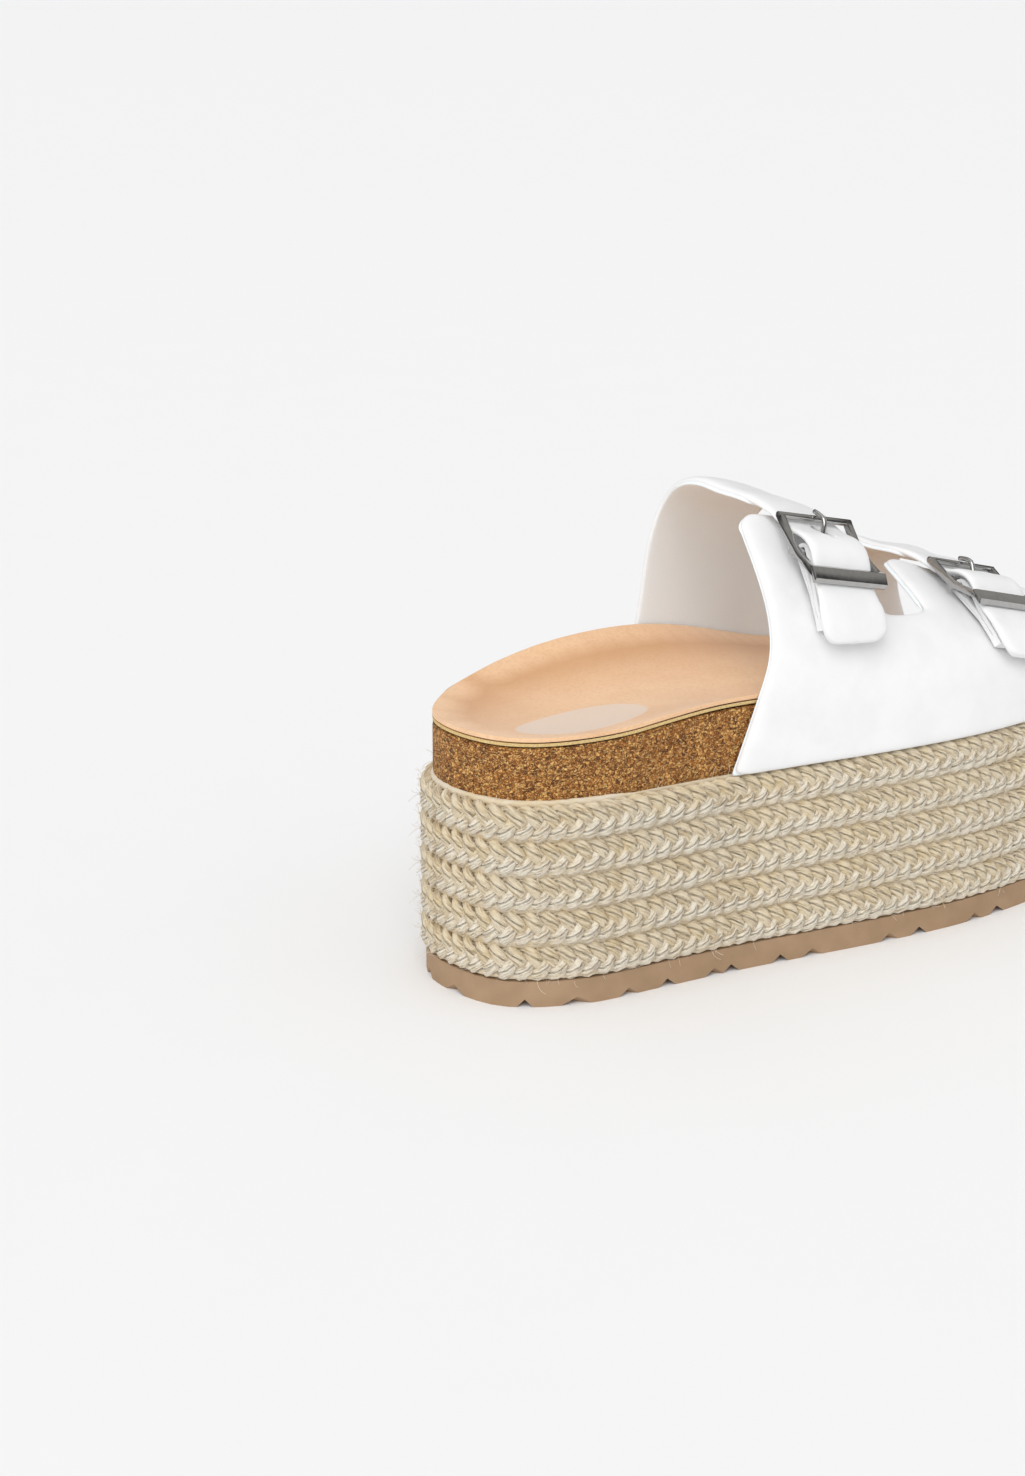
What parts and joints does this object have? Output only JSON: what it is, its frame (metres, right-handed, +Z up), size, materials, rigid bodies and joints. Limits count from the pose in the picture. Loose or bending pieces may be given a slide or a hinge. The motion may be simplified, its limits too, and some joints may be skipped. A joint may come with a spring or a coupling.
{
  "type": "wedge sandal",
  "caption": "Slide sandal on a thick platform wrapped in plaited jute, with a cork footbed, suede insole and a white two-strap upper with metal buckles.",
  "frame": {"origin": "middle of the shoe's bounding box on the ground", "axes": "+Y to the toe, +X to the outer side of a right foot, +Z up"},
  "size_m": [0.0952, 0.2478, 0.1285],
  "materials": {
    "outsole": "matt moulded tan foam rubber",
    "core": "matt foam",
    "jute": "natural plaited fibre, fuzzy",
    "cork": "speckled cork granules",
    "woven": "coarse weave",
    "suede": "soft peach suede",
    "upper": "smooth white, low sheen",
    "lining": "matt off-white",
    "metal": "polished"
  },
  "bodies": {
    "shoe": {"outsole": "outsole", "platform_core": "core", "jute_braid_1": "jute", "jute_braid_2": "jute", "jute_braid_3": "jute", "jute_braid_4": "jute", "jute_braid_5": "jute", "cork_footbed": "cork", "footbed_woven_layer": "woven", "suede_insole": "suede", "lateral_upper_lining": "lining", "lateral_upper": "upper", "medial_upper_lining": "lining", "medial_upper": "upper", "rear_keeper_strap": "upper", "front_keeper_strap": "upper"},
    "rear_buckle": {"rear_buckle_frame": "metal"},
    "rear_buckle_prong": {"rear_prong": "metal"},
    "front_buckle": {"front_buckle_frame": "metal"},
    "front_buckle_prong": {"front_prong": "metal"}
  },
  "joints": [
    {"name": "rear_buckle_tilt", "type": "hinge", "parent": "shoe", "child": "rear_buckle", "pos_m": [0.03018, -0.01515, 0.11158], "axis": [-0.0596, 0.9752, -0.2131], "range_deg": [-2, 1]},
    {"name": "rear_prong_turn", "type": "hinge", "parent": "rear_buckle", "child": "rear_buckle_prong", "pos_m": [0.03018, -0.01515, 0.11158], "axis": [-0.0596, 0.9752, -0.2131], "range_deg": [0, 10]},
    {"name": "front_buckle_tilt", "type": "hinge", "parent": "shoe", "child": "front_buckle", "pos_m": [0.02448, 0.04963, 0.09168], "axis": [-0.0605, 0.9679, -0.2438], "range_deg": [-2, 1]},
    {"name": "front_prong_turn", "type": "hinge", "parent": "front_buckle", "child": "front_buckle_prong", "pos_m": [0.02448, 0.04963, 0.09168], "axis": [-0.0605, 0.9679, -0.2438], "range_deg": [0, 10]}
  ]
}
